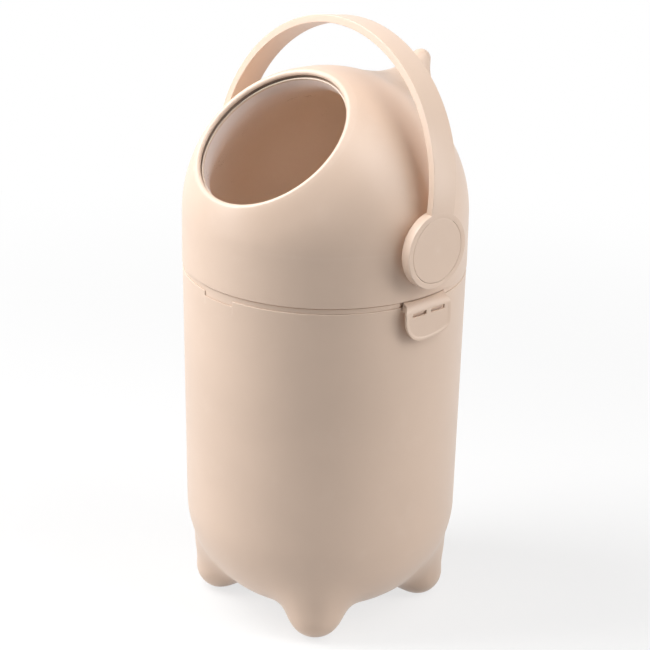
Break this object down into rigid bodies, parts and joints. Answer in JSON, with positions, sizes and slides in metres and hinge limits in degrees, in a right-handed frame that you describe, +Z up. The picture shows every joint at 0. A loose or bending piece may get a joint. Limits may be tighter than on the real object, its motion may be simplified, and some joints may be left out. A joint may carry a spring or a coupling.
{
  "type": "nappy bin",
  "caption": "Round nappy bin on moulded feet with a clipped-on domed lid, a slanted round mouth and an arched handle that turns a ball-shaped drum inside the dome.",
  "frame": {"origin": "ground level, on the bucket's centre line, midway between the feet", "axes": "+Z up; the mouth faces -Y (front); the clips and hubs lie on +X and -X"},
  "size_m": [0.2974, 0.2741, 0.5833],
  "materials": {
    "shell": "satin beige moulded plastic",
    "inner_plastic": "plain moulded plastic",
    "seal_rubber": "soft matt",
    "steel": "plain"
  },
  "bodies": {
    "bin": {"bin_body": "shell"},
    "lid": {"rim_gasket": "seal_rubber", "lid_frame": "shell", "seal_clamp": "inner_plastic", "drum_wiper": "seal_rubber", "lid_screws": "steel", "dome_shell": "shell", "mouth_seal": "seal_rubber", "bush_right": "inner_plastic", "bush_left": "inner_plastic", "clip_pin_right": "steel", "clip_pin_left": "steel"},
    "turner": {"handle": "shell", "hub_cap_right": "shell", "hub_cap_left": "shell", "hub_screw_right": "steel", "hub_screw_left": "steel", "drive_shaft_right": "inner_plastic", "drive_shaft_left": "inner_plastic", "drum_ring": "shell", "drum_bowl": "shell"},
    "latch_right": {"clip_right": "shell"},
    "latch_left": {"clip_left": "shell"}
  },
  "joints": [
    {"name": "lid_lift", "type": "slide", "parent": "bin", "child": "lid", "axis": [0, 0, 1], "range_m": [0, 0.08]},
    {"name": "handle_turn", "type": "hinge", "parent": "lid", "child": "turner", "pos_m": [0, 0, 0.3997], "axis": [1, 0, 0], "range_deg": [0, 130]},
    {"name": "clip_right_swing", "type": "hinge", "parent": "lid", "child": "latch_right", "pos_m": [0.136, 0, 0.3473], "axis": [0, -1, 0], "range_deg": [0, 76]},
    {"name": "clip_left_swing", "type": "hinge", "parent": "lid", "child": "latch_left", "pos_m": [-0.136, 0, 0.3473], "axis": [0, 1, 0], "range_deg": [0, 76]}
  ],
  "couplings": [
    {"joint": "clip_right_swing", "follows": "lid_lift", "rad_per_m": 16.3},
    {"joint": "clip_left_swing", "follows": "lid_lift", "rad_per_m": 16.3}
  ]
}
